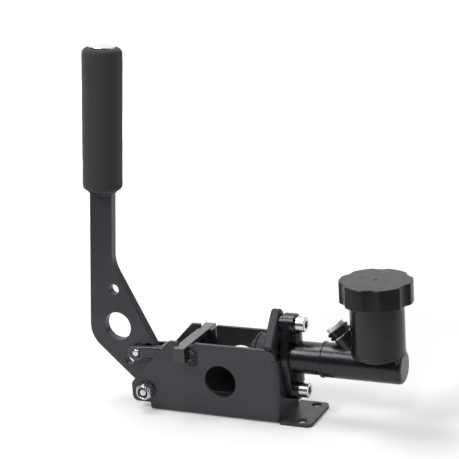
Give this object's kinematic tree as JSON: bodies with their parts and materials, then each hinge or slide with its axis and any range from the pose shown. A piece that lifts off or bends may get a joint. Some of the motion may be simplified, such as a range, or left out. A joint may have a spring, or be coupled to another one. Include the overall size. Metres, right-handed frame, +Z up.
{
  "type": "parking brake lever",
  "caption": "Upright hydraulic parking brake lever with a foam grip on a folded steel base box, pushing a flange-mounted master cylinder with its own fluid reservoir.",
  "frame": {"origin": "underside of the base, mid-plane, midway between the four mounting holes", "axes": "+X from the lever to the master cylinder, +Y across the base, +Z up"},
  "size_m": [0.2899, 0.0652, 0.3083],
  "materials": {
    "box_paint": "satin black powder coat",
    "lever_paint": "satin black powder coat",
    "cylinder_black": "satin black anodised aluminium",
    "clevis_black": "black oxide steel",
    "zinc_steel": "bright zinc plated steel",
    "bush_bronze": "bare bronze",
    "grip_foam": "fine matt foam",
    "plug_metal": "polished",
    "boot_rubber": "moulded rubber",
    "fitting_black": "black anodised fitting",
    "bright_alloy": "bare machined aluminium",
    "spring_steel": "oiled spring steel"
  },
  "bodies": {
    "base": {"base_tray": "box_paint", "stop_bar": "box_paint", "weld_beads": "box_paint", "mount_plate": "box_paint", "pivot_bolt": "zinc_steel", "pivot_nut": "zinc_steel", "pivot_washers": "zinc_steel", "pivot_spacers": "zinc_steel", "flange_bolts": "zinc_steel", "flange_spacer": "zinc_steel", "cylinder_body": "cylinder_black", "dust_boot": "boot_rubber", "snap_ring": "spring_steel", "stop_washer": "spring_steel", "valve_stem": "bright_alloy", "valve_seal": "boot_rubber", "valve_spacer": "bright_alloy", "return_spring": "spring_steel", "port_washer": "bright_alloy", "port_adapter": "fitting_black", "port_plug": "bright_alloy"},
    "lever": {"lever_plate": "lever_paint", "lever_bush": "bush_bronze", "grip_tube": "zinc_steel", "grip_collar": "lever_paint", "grip_foam": "grip_foam", "end_plug": "plug_metal"},
    "rod": {"pushrod": "clevis_black", "clevis": "clevis_black", "clevis_pin": "zinc_steel", "jam_nut": "zinc_steel"},
    "plunger": {"piston": "bright_alloy", "main_seal": "boot_rubber", "secondary_seal": "boot_rubber", "spring_retainer": "bright_alloy"},
    "diaphragm": {"cap_gasket": "boot_rubber"},
    "cap": {"reservoir_cap": "cylinder_black"}
  },
  "joints": [
    {"name": "lever_pivot", "type": "hinge", "parent": "base", "child": "lever", "pos_m": [-0.0825, 0, 0.0184], "axis": [0, 1, 0], "range_deg": [0, 46.5]},
    {"name": "clevis_pivot", "type": "hinge", "parent": "lever", "child": "rod", "pos_m": [-0.09947, 0, 0.04374], "axis": [0, 1, 0], "range_deg": [-44.5, 0]},
    {"name": "piston_slide", "type": "slide", "parent": "base", "child": "plunger", "axis": [1, 0, 0], "range_m": [0, 0.024], "stiffness_N_per_m": 900, "springref_m": -0.012, "deforming": ["return_spring"]},
    {"name": "cap_lift", "type": "slide", "parent": "base", "child": "diaphragm", "axis": [0, 0, 1], "range_m": [0, 0.009]},
    {"name": "cap_turn", "type": "hinge", "parent": "diaphragm", "child": "cap", "pos_m": [0.117, 0, 0.1144], "axis": [0, 0, 1], "range_deg": [0, 1080]}
  ],
  "couplings": [
    {"joint": "clevis_pivot", "follows": "lever_pivot", "ratio": -0.952},
    {"joint": "piston_slide", "follows": "lever_pivot", "m_per_rad": 0.0293},
    {"joint": "cap_lift", "follows": "cap_turn", "m_per_rad": 0.00047746}
  ]
}
